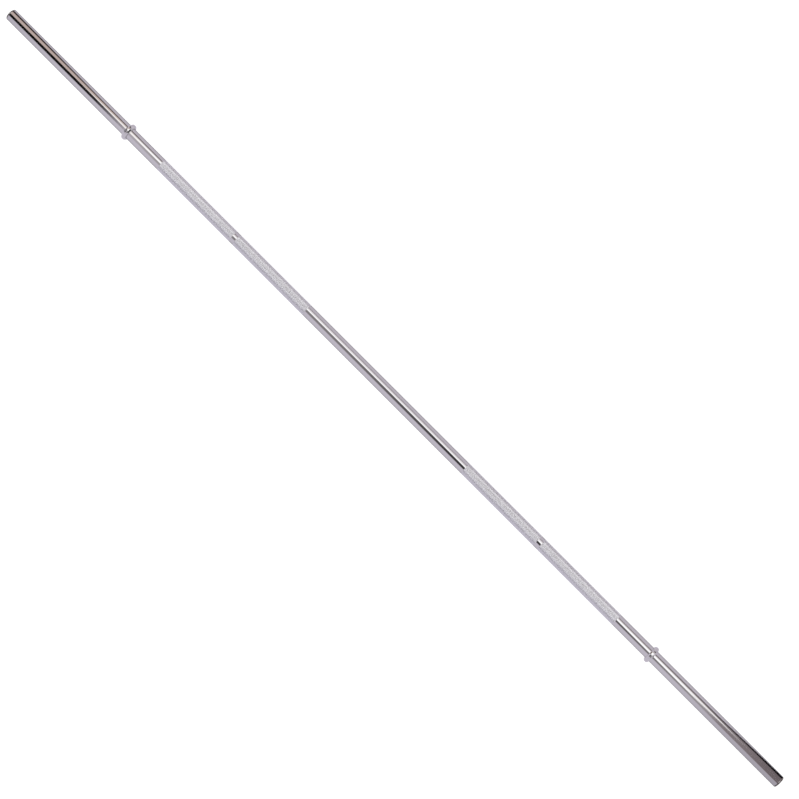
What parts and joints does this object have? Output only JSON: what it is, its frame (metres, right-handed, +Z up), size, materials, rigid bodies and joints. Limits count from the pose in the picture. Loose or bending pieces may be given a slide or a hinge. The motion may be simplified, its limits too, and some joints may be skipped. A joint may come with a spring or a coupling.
{
  "type": "straight barbell",
  "caption": "Straight solid weight bar in chromed steel, with knurled grips, smooth ring marks, pinned stop collars and smooth loading ends that take weight plates.",
  "frame": {"origin": "middle of the bar, on its axis", "axes": "+X along the bar to its right end, +Z up as it lies on a floor on its collars, +Y to the side that the collar pins are driven in from"},
  "size_m": [2.1336, 0.0364, 0.0364],
  "materials": {
    "chromed_bar": "bright chrome plate on ground steel bar, diamond knurled in the grip bands",
    "chromed_collar": "bright chrome plate on a turned steel ring",
    "spring_steel": "rolled and hardened spring strip, oiled"
  },
  "bodies": {
    "root": {"bar": "chromed_bar", "left_collar": "chromed_collar", "right_collar": "chromed_collar", "left_collar_pin": "spring_steel", "right_collar_pin": "spring_steel"}
  },
  "joints": []
}
